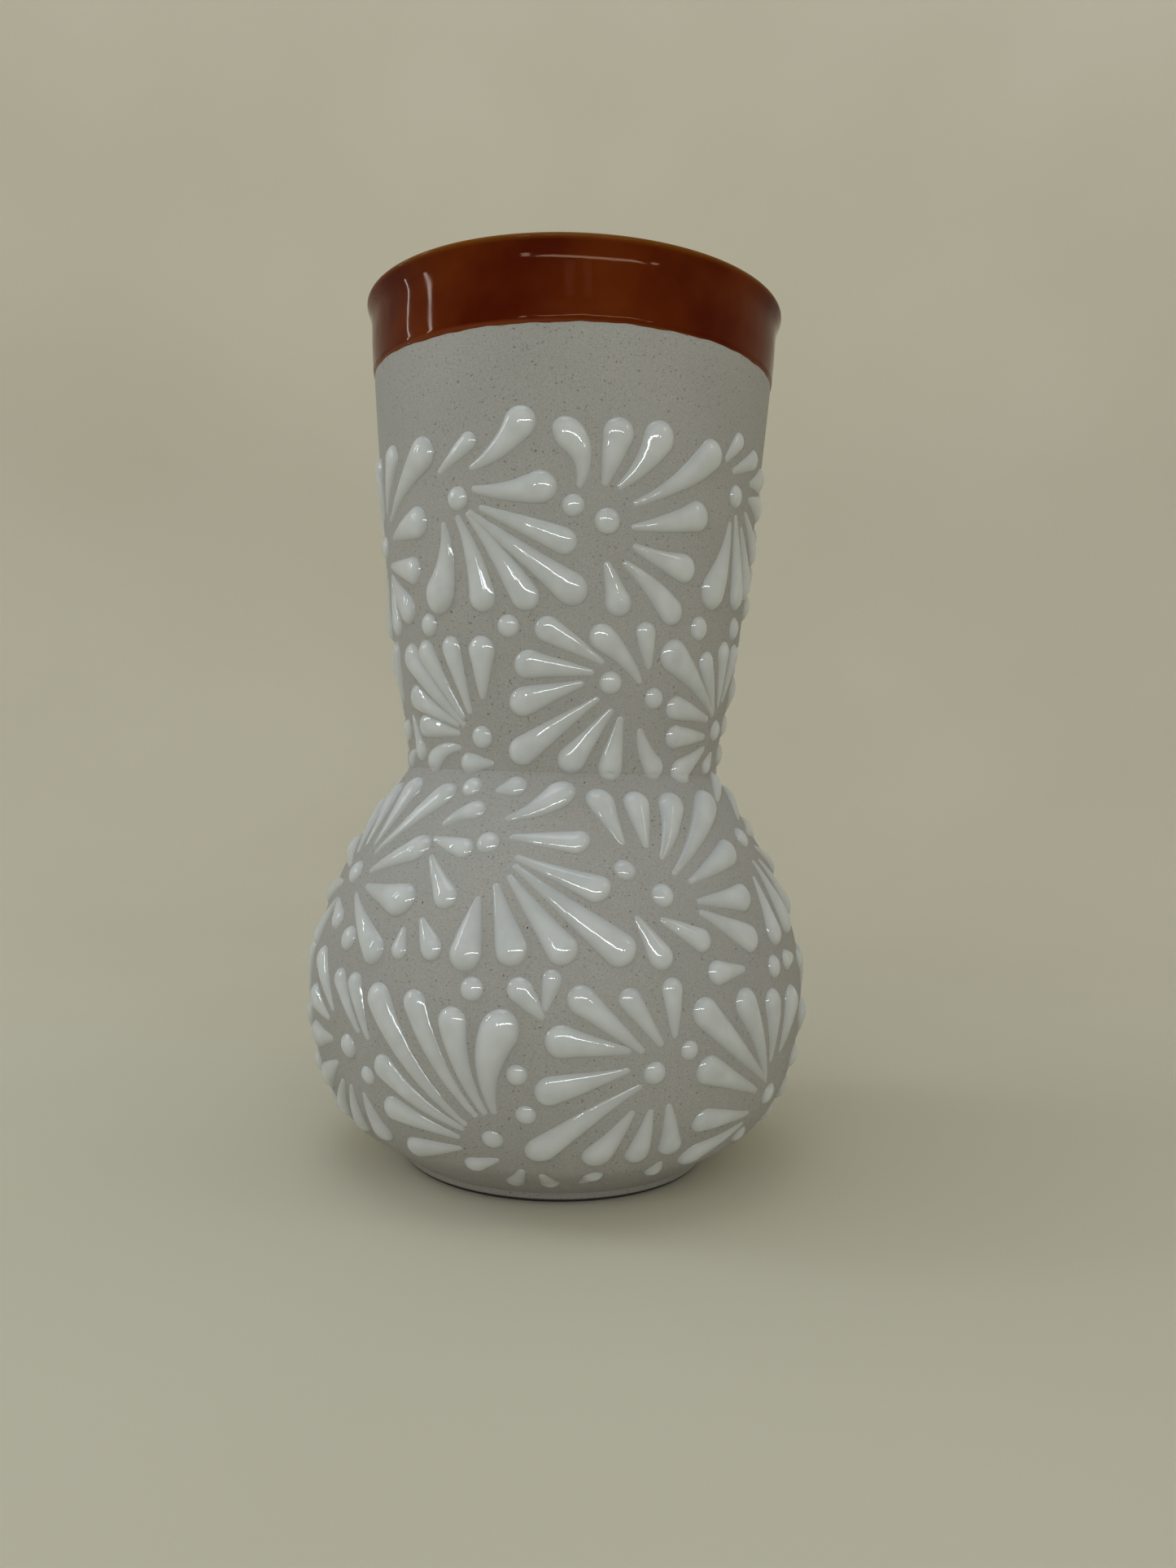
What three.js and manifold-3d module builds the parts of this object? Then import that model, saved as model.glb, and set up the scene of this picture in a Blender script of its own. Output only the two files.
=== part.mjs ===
// A hand-thrown vase decorated with raised white enamel.
//
// The clay is two thrown forms, a round belly and a tall flaring neck, luted together at the
// waist. A brown glaze covers the lip and lines the inside. Over the bare outside, enamel is
// trailed in teardrop strokes that fan out from round dots: four rows of flowers, with loose
// dots and petals between the rows.
//
// Millimetres, +Z up, origin at the centre of the foot, front towards -Y.

import * as THREE from "three";
import { mergeVertices } from "three/addons/utils/BufferGeometryUtils.js";
import Module from "manifold-3d";

const wasm = await Module();
wasm.setup();

// ---------------------------------------------------------------- driving dimensions

const SEGMENTS = 32; // facets round the axis

const FOOT_RADIUS = 44.7;
const FOOT_HEIGHT = 3;
const FOOT_FLARE = 0.4; // how much wider the foot is at its top
const FOOT_CHAMFER = 1.2;
const FOOT_RING_WIDTH = 8;
const FOOT_RECESS = 2.5; // how far the middle of the base is cut up inside the foot ring

const WAIST_HEIGHT = 115.2;
const LIP_CENTRE = [57.4, 247]; // middle of the rolled lip's section: radius, height
const LIP_SIZE = [2.9, 2.2]; // half its width and half its height
const LIP_STEP = 45; // degrees

const NECK_WALL = 5;
const JOINT_GAP = 0.3; // between pieces that touch
const GLAZE_THICKNESS = 0.5;
const GLAZE_EDGE_HEIGHT = 229; // the rim is dipped down to here, outside and inside

const ENAMEL_GAP = 0.55; // under the enamel, so that flat facets clear the round wall
const ENAMEL_RISE = 0.22; // height of a stroke's crown over its width
const TAIL_WIDTH = 1.8;
const SWELL_LENGTHS = [8, 34]; // a stroke this short swells evenly, one this long late:
const SWELL_POWERS = [0.9, 1.3];
const HEAD_END = { reach: 0.47, half: 0.26 }; // the blunt end past the head, over its width
const THREAD = { half: 0.6, rise: 0.6 }; // the thin run of enamel from a stroke to its dot
const START_IN_DOT = 0.3; // of the dot's width, how far from its centre a thread starts
const DOT_SIDES = 7;
const DOT_TOP = 0.28; // radius of a dot's top, over its width
const LONGEST_STEP = 11; // along a stroke

// Steps along each outline, and the finest length that is measured on one.
const BELLY_STEPS = 10;
const BELLY_INSIDE_STEPS = 7;
const NECK_STEPS = 5;
const FINEST = 0.01;
const SLOPE_REACH = 0.5; // how far to each side of a place its slope is taken

// Outlines of the bare clay, each point a radius and a height.
const BELLY_OUTSIDE = [
  [45.3, 3.2], [52.5, 8.4], [61.6, 15.2], [69.3, 29], [72.7, 49],
  [70.4, 68], [63.4, 87], [54.9, 101], [45.6, WAIST_HEIGHT],
];
const BELLY_INSIDE = [
  [0, 9], [34, 9.2], [52, 16], [62.2, 29], [66.7, 49],
  [64.5, 68], [57.8, 86], [49.8, 99], [40.6, WAIST_HEIGHT],
];
const NECK_OUTSIDE = [
  [45.6, WAIST_HEIGHT], [46.8, 126], [50.7, 149], [53.8, 175],
  [56.4, 203], [58.5, 229], [58.8, 243],
];

// ---------------------------------------------------------------- the enamel design
//
// A flower has a centre on the wall (degrees round from the front, height) and a round dot
// there. Its strokes are laid out flat in millimetres, right and up from the dot:
//   [tail right, tail up, head right, head up, head width, bow to the left of the stroke]
// and a dot beside the centre is [right, up, width]. The same half is used twice round the vase.

const FLOWER_ROWS = {
  flower_collar: [
    { angle: -76, height: 178, dot: 7, strokes: [
      [6, 9.5, 14, 22.5, 8, 0], [9.5, 6.5, 30, 21, 9.5, 0], [11, 1.5, 25.5, 3.5, 9.4, 0],
      [6.5, -6, 21.5, -9, 7.8, 0], [6, -9, 16.5, -19, 8.8, 0], [5, -10, 7.5, -22.5, 7.5, 0],
      [0, 9, -1, 22, 8, 0], [-6, 7.5, -11, 21, 8, 0], [-8, 3, -15.5, 8, 7, 0],
      [-8, -2, -16, -3, 7, 0], [-7, -6, -18.5, -13, 8, 0], [-3, -9, -8, -22, 8, 0],
    ] },
    { angle: -32.5, height: 186, dot: 6.6, strokes: [
      [-5.5, 7.5, 3.8, 14.2, 5.4, 0], [5, 7.5, 18.5, 18, 8.6, -1.3], [5.5, 2, 23.5, 2, 8.3, -1],
      [7.5, -3, 29, -11.5, 7.6, 0], [4, -4, 30.5, -23.5, 9, 0], [3.5, -4.5, 18.5, -25.5, 8, 0.5],
      [0, -5, 6.5, -25.5, 8.3, 1], [-5, -6.5, -7.5, -24, 10.3, 1.5],
    ] },
    { angle: 10.3, height: 180, dot: 7, strokes: [
      [-9, 3.5, 6], [-7.5, 9, -10.7, 21.1, 8, -1.9], [-1, 9.5, 1.9, 21.9, 8.8, 0],
      [3, 9, 13, 22, 8.8, -1], [7.5, 5, 30.5, 20.6, 8.8, -1.2], [7.5, -1, 26.5, 4, 8.3, -0.5],
      [8, -6, 23, -10, 7.8, -0.5], [5.5, -10.5, 19.5, -21.5, 8.2, 0.5], [0.5, -11, 4, -20.5, 7.2, 0],
    ] },
    { angle: 55, height: 192, dot: 6.6, strokes: [
      [-6.5, 9, -1.5, 14.5, 5.4, 0], [-2.5, 6.5, 9.5, 12, 5.8, 0], [-1.5, -8, -6, -26.5, 10.3, 1],
      [1.5, -5.5, 8, -26, 8.8, 0], [6, -8, 16, -22, 8.5, 0], [8, -3.5, 22, -12, 8, 0],
      [10, 1, 23, 1, 8, 0], [9.5, 5.5, 21, 9, 7, 0],
    ] },
  ],
  flower_neck: [
    { angle: -73, height: 126, dot: 6.6, strokes: [
      [7, 3.5, 10.5, -6, 6, 0], [5.5, -6.5, 1.5, -8.5, 5.5, 0], [-1, 9, 0, 22, 7.5, 0],
      [-5, 8, -11, 21, 7.5, 0], [-8, 5, -21, 15, 8, 0], [-9, 1, -22, 4, 7, 0],
      [-9, -3, -21, -5, 7.2, 0], [-6, -6, -13, -10, 5, -1],
    ] },
    { angle: -28, height: 124, dot: 6.4, strokes: [
      [-6, 3.5, -26.5, 22, 8.8, 0], [-6, 5.5, -18.5, 23, 7.2, 0], [-3.5, 7, -8.5, 24, 6.7, 0],
      [1, 11, 1.5, 23, 8.2, 0], [-8, 3.5, -25.5, 11, 7.4, 0], [-8, 1, -22, 3, 7, 0],
      [-8, -3, -18, -6.5, 6.6, -1], [2.5, -7, -4.5, -7, 5.8, 0],
    ] },
    { angle: 14, height: 139, dot: 6.4, strokes: [
      [13, -3.5, 6], [-3, 5.5, -17.5, 13.5, 7.2, 0], [-5.5, 2.6, -22, 4.3, 7.8, 0],
      [-8, -0.5, -22.5, -5.5, 8.2, 0], [-3.5, -4.5, -22, -18.5, 8.5, 0],
      [0.5, -7.5, -9, -20.5, 7.6, 0], [3.5, -9.5, 1.5, -22.5, 7.2, 0],
      [9.5, -12.5, 14.5, -22, 6.8, -0.6], [8, 1, -3, 11.7, 7.2, -0.7], [10.5, 5, 9, 13.5, 6.4, 0],
    ] },
    { angle: 66, height: 128, dot: 6.4, strokes: [
      [-4.5, 4.5, -27.5, 19.5, 8.8, 0], [-4.5, 5.5, -14, 18.5, 6.8, 0], [-1.5, 7.5, -5, 22, 6.6, 0],
      [-7.5, 3, -23, 5.5, 6.8, 0], [-7.5, -2, -21, -2.5, 7, 0], [-6.5, -5.5, -17, -12, 7.5, 0],
      [0, -7, -3, -10.5, 5.5, 0], [1.5, 9, 4, 22, 7, 0],
    ] },
  ],
  flower_shoulder: [
    { angle: -62, height: 86, dot: 7, strokes: [
      [11, -17.5, 7], [2.5, 9.5, 4, 27, 9, 0], [6, 7, 19.5, 26, 8.8, 0], [9, 1.5, 23, 9.5, 8.8, 0],
      [10.5, -3, 27, -5, 9.2, 0], [6.5, -6, 23.5, -19, 8.4, 0], [-5, -9, 0.5, -13.5, 6.6, 0],
      [-4, 9, -7.5, 25, 8.5, 0], [-8, 6, -19, 20, 8.5, 0], [-9, 1.5, -22, 6, 8.5, 0],
      [-9, -4, -22, -8, 8.5, 0], [-7, -9, -16, -20, 8, 0],
    ] },
    { angle: -19, height: 97, dot: 6.5, strokes: [
      [-14.5, 5, -6, 9.5, 5.8, 0.5], [-16, 0, -6.5, -2, 6.4, 0], [-15.5, -5.5, -8.5, -15.5, 7, 0],
      [4, 7.5, 15.5, 15, 8.6, -0.9], [6.5, 2, 23, 1, 7.2, 0], [9, -4, 30.5, -12, 7.2, 0],
      [9, -6.5, 38.5, -27.5, 9, 0], [8, -9.5, 24, -27.5, 8, 0], [5, -12, 11.5, -28, 8.2, 0],
      [0.8, -15.8, -0.3, -29.6, 9.2, 0], [-19.5, -25.5, -20, -30.5, 5.2, 0], [-14, -22.5, -10, -29, 6.6, 0],
    ] },
    { angle: 24, height: 85, dot: 6.6, strokes: [
      [-9, 7, 6], [-8, 15, -11, 27, 7.8, 0], [-1.5, 14, -1, 26.5, 8.2, 0], [2.4, 10.6, 9.8, 25.8, 8.8, -0.8],
      [5, 6, 24, 26, 10, -0.5], [9.5, 3.5, 26.5, 11, 8.8, 0], [11, -2, 27.5, -2, 7.8, 0],
      [11, -5, 27.5, -13, 8, 0], [-1, -6.5, 9.5, -12, 6.6, 0], [-8, -6, -3, -15.5, 7, 0],
    ] },
    { angle: 63, height: 98, dot: 6.6, strokes: [
      [-6, -12.5, -5.5, -27.5, 8, 0], [-1, -8, 6.5, -25.5, 9, 0], [-2, 12.5, 6.5, 18.5, 6.5, 0],
      [8, 6, 18, 13, 8, 0], [10, 1, 24, 2, 8, 0], [9, -4, 25, -10, 8, 0], [5, -8, 18, -22, 8.5, 0],
      [22, -16.5, 31.5, -22.5, 7.4, 0],
    ] },
  ],
  flower_belly: [
    { angle: -86, height: 30, dot: 6.5, strokes: [
      [-22, 33, 6.2], [-4, 8, -11, 32, 8.5, 0], [3, 9, 4.5, 31, 8, 0], [7, 6, 13.5, 15, 7, 0],
      [8, 0, 17, 1, 7, 0],
      [6, -6, 13, -13, 7, 0], [-8, 5, -24, 18, 8.5, 0], [-9, 1, -27, 6, 7.5, 0],
      [-9, -4, -25, -4, 7.5, 0], [-7, -8, -19, -14, 8, 0], [-1, -9, -2, -15, 6, 0],
    ] },
    { angle: -49, height: 42, dot: 6.8, strokes: [
      [7.5, -6.5, 5.4], [5, 5, -5, 17, 6.2, 0], [9, 4, 2.5, 17, 6, 0], [-8, 8.5, -19.5, 20, 8, 0],
      [-11, 5.5, -22.5, 9, 7.6, 0], [-9.5, 0, -23, -1.5, 8, 0], [-8, -6.5, -19.5, -13, 8, 0],
      [-6.5, -11.5, -14, -21.5, 7.4, 0], [-2, -12, -5.5, -24.5, 7.2, 0], [4, -13, 5.5, -23.5, 7.8, 0],
    ] },
    { angle: -13, height: 24, dot: 5.8, strokes: [
      [7, 18.5, 5.6], [9, 8, 5.4], [-7, 4, -32.5, 33.3, 8.6, 1.7], [-4, 7, -20.7, 33.8, 7.3, 1.3],
      [-1.5, 8, -9.7, 30.2, 7.8, 1.2], [1, 8.5, 2.5, 29, 10.6, 2], [-8, 2.5, -30.5, 15.8, 7.4, 0.9],
      [-9.5, -0.5, -28, 4.5, 7.6, 0], [-9.5, -4.5, -22.5, -7.5, 8, 0], [0, -7.5, -6, -10.5, 6, 0],
      [6, -11.6, 2.5, -21, 5.4, 0], [11, -13.6, 11.5, -20.8, 5.6, 0],
    ] },
    { angle: 20, height: 42, dot: 6.2, strokes: [
      [9.5, 5, 5.4], [-4, 6, -19, 18.5, 7.6, 0], [1, 7.5, -7, 18.5, 6, 0], [5, 9.5, 4.5, 20.5, 6.4, 0],
      [-7.5, 6, -24, 8.5, 8.2, 0], [-7.5, 1, -26, -4, 8.2, 0], [-4, -3.5, -25.7, -20.8, 9.2, -1.3],
      [-5, -10.5, -11.5, -23, 8.2, 0], [0, -10.5, -1, -23.5, 7.2, 0], [5, -9.5, 8, -22, 7, 0],
      [-28, 16.5, -26, 23.5, 5, 0], [-29, 14.5, -34, 20.5, 7, 0], [-11, -39.4, -10, -33.2, 5.2, 0],
      [7, -29.2, 6.5, -33.2, 5.6, 0],
    ] },
    { angle: 57, height: 29, dot: 6.5, strokes: [
      [-5, 5.5, -32.5, 27.3, 8.6, 1], [-4.5, 5, -18, 28, 8.4, 0], [-4, 11, -5.5, 26.5, 8.4, 0],
      [1.5, 12.5, 7, 25, 9.4, 0], [-9, 3, -30.5, 12.5, 7.8, 0], [-9, -4, -27.5, -2, 7.6, 0],
      [-9, -7.5, -23.5, -14, 8.4, 0], [-2, -14, -6, -12, 5.5, 0],
    ] },
  ],
};

// Single touches between the rows, each in its own place: a dot's width, or one short stroke.
const LOOSE_DOTS = [
  { angle: -46.5, height: 154, dot: 6.6 }, { angle: -17.3, height: 153, dot: 6.2 },
  { angle: 44, height: 155, dot: 6.8 }, { angle: 66, height: 157, dot: 6.6 },
  { angle: -29.8, height: 110.8, dot: 6.2 }, { angle: -17, height: 62, dot: 6.2 },
  { angle: 55, height: 64.5, dot: 6.5 },
];
const LOOSE_PETALS = [
  { angle: -16, height: 111, stroke: [-3.5, -1, 1, 0.5, 6.2, 0] },
  { angle: 38, height: 65.5, stroke: [6, 0, -3.5, 0, 6.4, 0] },
  { angle: 65, height: 65, stroke: [4, 0, -3, 0, 6, 0] },
];

// ---------------------------------------------------------------- the wall as a surface

const vectors = (points) => points.map(([x, y]) => new THREE.Vector2(x, y));
const bellyOutside = new THREE.SplineCurve(vectors(BELLY_OUTSIDE));
const bellyInside = new THREE.SplineCurve(vectors(BELLY_INSIDE));
const neckOutside = new THREE.SplineCurve(vectors(NECK_OUTSIDE));

const wall = new THREE.CurvePath();
wall.add(bellyOutside);
wall.add(neckOutside);
const WALL_LENGTH = wall.getLength();

// Radius and height on the outside, at a length measured up the outline from the foot.
function wallPoint(length) {
  return wall.getPoint(THREE.MathUtils.clamp(length / WALL_LENGTH, 0, 1));
}

function lengthAtHeight(height) {
  let low = 0;
  let high = WALL_LENGTH;
  while (high - low > FINEST) {
    const middle = (low + high) / 2;
    if (wallPoint(middle).y < height) low = middle;
    else high = middle;
  }
  return low;
}

// The place that lies right and up of a centre, measured on the wall, and lifted off it.
function onWall(centre, right, up, lift) {
  const length = lengthAtHeight(centre.height) + up;
  const point = wallPoint(length);
  const above = wallPoint(length + SLOPE_REACH);
  const along = above.sub(wallPoint(length - SLOPE_REACH)).normalize();
  const angle = THREE.MathUtils.degToRad(centre.angle) + right / point.x;
  const radius = point.x + along.y * lift;
  const height = point.y - along.x * lift;
  return new THREE.Vector3(radius * Math.sin(angle), -radius * Math.cos(angle), height);
}

// ---------------------------------------------------------------- turned pieces

// Moves an outline sideways by a distance, to the left of the way it runs.
function offset(points, distance) {
  return points.map((point, index) => {
    const before = points[Math.max(index - 1, 0)];
    const after = points[Math.min(index + 1, points.length - 1)];
    const along = after.clone().sub(before).normalize();
    return new THREE.Vector2(point.x - along.y * distance, point.y + along.x * distance);
  });
}

function turned(outline) {
  const geometry = new THREE.LatheGeometry(outline, SEGMENTS);
  geometry.rotateX(Math.PI / 2);
  return geometry;
}

function closed(outline) {
  return [...outline, outline[0].clone()];
}

// The rolled lip, from its outside over the top to its inside.
function lipArc() {
  const points = [];
  for (let degrees = 0; degrees <= 180; degrees += LIP_STEP) {
    const turn = THREE.MathUtils.degToRad(degrees);
    const radius = LIP_CENTRE[0] + LIP_SIZE[0] * Math.cos(turn);
    points.push(new THREE.Vector2(radius, LIP_CENTRE[1] + LIP_SIZE[1] * Math.sin(turn)));
  }
  return points;
}

// The two faces of the neck's wall, from the waist up, with a point where the glaze ends.
function neckFaces() {
  const bare = neckOutside.getSpacedPoints(NECK_STEPS).slice(0, -1);
  const edge = wallPoint(lengthAtHeight(GLAZE_EDGE_HEIGHT));
  const outside = [...bare, edge, wallPoint(WALL_LENGTH)];
  return { outside, inside: offset(outside, NECK_WALL) };
}

function makeNeck() {
  const { outside, inside } = neckFaces();
  outside[0].y = WAIST_HEIGHT + JOINT_GAP;
  inside[0].y = WAIST_HEIGHT + JOINT_GAP;
  return turned(closed([...outside, ...lipArc(), ...inside.reverse()]));
}

function makeBelly() {
  const recess = FOOT_RADIUS - FOOT_RING_WIDTH;
  const foot = vectors([
    [0, FOOT_RECESS], [recess - FOOT_RECESS, FOOT_RECESS], [recess, 0],
    [FOOT_RADIUS - FOOT_CHAMFER, 0], [FOOT_RADIUS, FOOT_CHAMFER],
    [FOOT_RADIUS + FOOT_FLARE, FOOT_HEIGHT],
  ]);
  const outside = bellyOutside.getSpacedPoints(BELLY_STEPS);
  const inside = bellyInside.getSpacedPoints(BELLY_INSIDE_STEPS).reverse();
  return turned([...foot, ...outside, ...inside]);
}

// The two faces of a coat of glaze over a run of clay.
function coat(face) {
  const under = offset(face, -JOINT_GAP);
  const over = offset(face, -JOINT_GAP - GLAZE_THICKNESS);
  return { under, over };
}

function makeRimGlaze() {
  const { outside, inside } = neckFaces();
  const { under, over } = coat([...outside.slice(-2), ...lipArc(), ...inside.slice(-2).reverse()]);
  return turned(closed([...over, ...under.reverse()]));
}

function makeGlazeLining() {
  const neck = neckFaces().inside.slice(1, -1).reverse();
  neck[0].y -= JOINT_GAP;
  const { under, over } = coat([...neck, ...bellyInside.getSpacedPoints(BELLY_INSIDE_STEPS).reverse()]);
  under[under.length - 1].x = 0;
  over[over.length - 1].x = 0;
  return turned([...under.reverse(), ...over]);
}

// ---------------------------------------------------------------- enamel

function solidFrom(vertices, triangles) {
  const vertProperties = new Float32Array(vertices.flatMap((vertex) => vertex.toArray()));
  const triVerts = new Uint32Array(triangles.flat());
  return new wasm.Manifold(new wasm.Mesh({ numProp: 3, vertProperties, triVerts }));
}

// A ridge with a flat underside along a path on the wall. It starts at a point, and each
// station after that is { right, up, half, rise }: half its width and the height of its crown.
// The last station has no crown, so that the ridge slopes down to a blunt end.
function ridge(centre, start, stations) {
  const path = [start, ...stations];
  const vertices = [onWall(centre, start.right, start.up, ENAMEL_GAP + start.rise)];
  stations.forEach(({ right, up, half, rise }, index) => {
    const before = path[index];
    const after = path[Math.min(index + 2, path.length - 1)];
    const along = new THREE.Vector2(after.right - before.right, after.up - before.up).normalize();
    for (const sign of [-1, 1]) {
      const aside = sign * half;
      vertices.push(onWall(centre, right - aside * along.y, up + aside * along.x, ENAMEL_GAP));
    }
    if (index < stations.length - 1) vertices.push(onWall(centre, right, up, ENAMEL_GAP + rise));
  });
  const triangles = [[0, 1, 3], [0, 3, 2], [0, 2, 1]];
  const last = vertices.length - 5;
  for (let corner = 1; corner < last; corner += 3) {
    for (const [edge, other] of [[0, 2], [2, 1], [1, 0]]) {
      triangles.push([corner + edge, corner + edge + 3, corner + other]);
      triangles.push([corner + other, corner + edge + 3, corner + other + 3]);
    }
  }
  triangles.push([last, last + 3, last + 2], [last + 2, last + 3, last + 4]);
  triangles.push([last + 2, last + 4, last + 1], [last, last + 1, last + 4], [last, last + 4, last + 3]);
  return solidFrom(vertices, triangles);
}

// Stations of a thin run of enamel between two places, without its ends.
function thread(from, to, fewestSteps) {
  const distance = Math.hypot(to.right - from.right, to.up - from.up);
  const steps = Math.max(fewestSteps, Math.ceil(distance / LONGEST_STEP));
  return Array.from({ length: steps - 1 }, (_, index) => {
    const share = (index + 1) / steps;
    const right = THREE.MathUtils.lerp(from.right, to.right, share);
    return { right, up: THREE.MathUtils.lerp(from.up, to.up, share), ...THREAD };
  });
}

// Stations of a teardrop, from its thin tail to its round head.
function teardrop([tailRight, tailUp, headRight, headUp, width, bow]) {
  const tail = new THREE.Vector2(tailRight, tailUp);
  const run = new THREE.Vector2(headRight, headUp).sub(tail);
  const length = run.length();
  const left = new THREE.Vector2(-run.y, run.x).normalize();
  const crown = width * ENAMEL_RISE;
  const steps = Math.ceil(length / LONGEST_STEP);
  const power = THREE.MathUtils.mapLinear(length, ...SWELL_LENGTHS, ...SWELL_POWERS);
  const stations = Array.from({ length: steps + 1 }, (_, step) => {
    const share = step / steps;
    const swell = share ** THREE.MathUtils.clamp(power, ...SWELL_POWERS);
    const aside = 4 * bow * share * (1 - share);
    const point = tail.clone().addScaledVector(run, share).addScaledVector(left, aside);
    const half = THREE.MathUtils.lerp(TAIL_WIDTH, width, swell) / 2;
    return { right: point.x, up: point.y, half, rise: THREE.MathUtils.lerp(THREAD.rise, crown, swell) };
  });
  const end = tail.clone().addScaledVector(run, 1 + (width * HEAD_END.reach) / length);
  stations.push({ right: end.x, up: end.y, half: width * HEAD_END.half, rise: THREAD.rise });
  return stations;
}

// A low round dot: a ring on the wall and a smaller ring that bounds its top.
function dome(centre, right, up, width) {
  const rings = [{ radius: width / 2, lift: 0 }, { radius: width * DOT_TOP, lift: width * ENAMEL_RISE }];
  const vertices = rings.flatMap(({ radius, lift }) => Array.from({ length: DOT_SIDES }, (_, index) => {
    const turn = (index / DOT_SIDES) * 2 * Math.PI;
    const x = right + radius * Math.cos(turn);
    const y = up + radius * Math.sin(turn);
    return onWall(centre, x, y, ENAMEL_GAP + lift);
  }));
  const triangles = [];
  for (let index = 0; index < DOT_SIDES; index += 1) {
    const next = (index + 1) % DOT_SIDES;
    const top = DOT_SIDES + index;
    triangles.push([index, next, top], [next, DOT_SIDES + next, top]);
    if (index > 0 && next > 0) {
      triangles.push([0, next, index], [DOT_SIDES, top, DOT_SIDES + next]);
    }
  }
  return solidFrom(vertices, triangles);
}

// One touch of the trailer, tied to the flower's dot by a thread from whichever end is nearer.
function touch(flower, stroke) {
  const isDot = stroke.length === 3;
  const distance = ({ right, up }) => Math.hypot(right, up);
  const stations = isDot ? [{ right: stroke[0], up: stroke[1], ...THREAD }] : teardrop(stroke);
  if (distance(stations[0]) > distance(stations[stations.length - 1])) stations.reverse();
  const near = stations[0];
  const inDot = (flower.dot * START_IN_DOT) / distance(near);
  const start = { right: near.right * inDot, up: near.up * inDot, rise: THREAD.rise };
  const tie = ridge(flower, start, [...thread(start, near, isDot ? 2 : 1), ...stations]);
  return isDot ? [dome(flower, ...stroke), tie] : [tie];
}

function makeFlower(flower) {
  const touches = flower.strokes.flatMap((stroke) => touch(flower, stroke));
  return wasm.Manifold.union([dome(flower, 0, 0, flower.dot), ...touches]);
}

function makeLoosePetal(place) {
  const [tail, ...body] = teardrop(place.stroke);
  return ridge(place, tail, body);
}

function geometryOf(solid) {
  const mesh = solid.getMesh();
  const geometry = new THREE.BufferGeometry();
  geometry.setAttribute("position", new THREE.BufferAttribute(mesh.vertProperties, mesh.numProp));
  geometry.setIndex(new THREE.BufferAttribute(mesh.triVerts, 1));
  return geometry;
}

// ---------------------------------------------------------------- the vase

const clay = new THREE.MeshStandardMaterial({ color: 0x96948f, roughness: 0.95, metalness: 0 });
const enamel = new THREE.MeshStandardMaterial({ color: 0xdfe2de, roughness: 0.2, metalness: 0 });
const glaze = new THREE.MeshStandardMaterial({ color: 0x4a1d0c, roughness: 0.12, metalness: 0 });

const vase = new THREE.Group();

function addMesh(name, geometry, material) {
  const mesh = new THREE.Mesh(mergeVertices(geometry, 1e-4), material);
  mesh.name = name;
  vase.add(mesh);
}

function addPlain(name, geometry, material) {
  geometry.deleteAttribute("normal");
  geometry.deleteAttribute("uv");
  addMesh(name, geometry, material);
}

// The design of one half again on the other half.
function bothHalves(places) {
  const turnedHalf = places.map((place) => ({ ...place, angle: place.angle + 180 }));
  return [...places, ...turnedHalf];
}

addPlain("belly", makeBelly(), clay);
addPlain("neck", makeNeck(), clay);
addPlain("rim_glaze", makeRimGlaze(), glaze);
addPlain("glaze_lining", makeGlazeLining(), glaze);

for (const [row, flowers] of Object.entries(FLOWER_ROWS)) {
  bothHalves(flowers).forEach((flower, index) => {
    addMesh(`${row}_${index + 1}`, geometryOf(makeFlower(flower)), enamel);
  });
}
bothHalves(LOOSE_DOTS).forEach((place, index) => {
  addMesh(`loose_dot_${index + 1}`, geometryOf(dome(place, 0, 0, place.dot)), enamel);
});
bothHalves(LOOSE_PETALS).forEach((place, index) => {
  addMesh(`loose_petal_${index + 1}`, geometryOf(makeLoosePetal(place)), enamel);
});

export default vase;
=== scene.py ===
"""A hand-thrown vase decorated with raised white enamel.

The round belly and the flaring neck are bare sandy clay, the lip and the inside carry a brown
glaze, and teardrop strokes of thick white enamel fan out from dots in four rows of flowers.
The design below repeats the CAD part's own values, in millimetres; everything built from it
is in metres, with +Z up and the front towards -Y.
"""

import math

import bmesh
import bpy
import numpy as np
from mathutils import Matrix, Vector


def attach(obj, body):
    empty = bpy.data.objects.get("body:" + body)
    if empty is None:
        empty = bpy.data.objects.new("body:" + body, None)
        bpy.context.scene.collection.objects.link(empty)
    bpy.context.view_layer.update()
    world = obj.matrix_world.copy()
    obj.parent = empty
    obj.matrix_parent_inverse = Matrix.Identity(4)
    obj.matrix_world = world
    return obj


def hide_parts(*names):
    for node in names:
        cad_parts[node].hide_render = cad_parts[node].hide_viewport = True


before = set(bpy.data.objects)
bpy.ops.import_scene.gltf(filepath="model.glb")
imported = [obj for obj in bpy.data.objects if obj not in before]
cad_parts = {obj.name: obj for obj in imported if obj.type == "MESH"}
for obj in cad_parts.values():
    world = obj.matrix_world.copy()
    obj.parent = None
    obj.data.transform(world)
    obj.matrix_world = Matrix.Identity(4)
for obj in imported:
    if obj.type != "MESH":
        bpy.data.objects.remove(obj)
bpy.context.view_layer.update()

MM = 0.001

# ---------------------------------------------------------------- driving dimensions

SEGMENTS = 224  # facets round the axis
SHARPEST_BEND = 26  # degrees: a turned edge sharper than this shows as a crease
SAME_POINT = 1e-6  # metres: points closer than this are one
SLOPE_REACH = 0.5  # how far up and down from a point the wall's slope is taken

WAIST_HEIGHT = 115.2
GLAZE_EDGE_HEIGHT = 229.0
GLAZE_THICKNESS = 0.5
GLAZE_LIFT = 0.3  # clay to the underside of a coat of glaze

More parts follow.
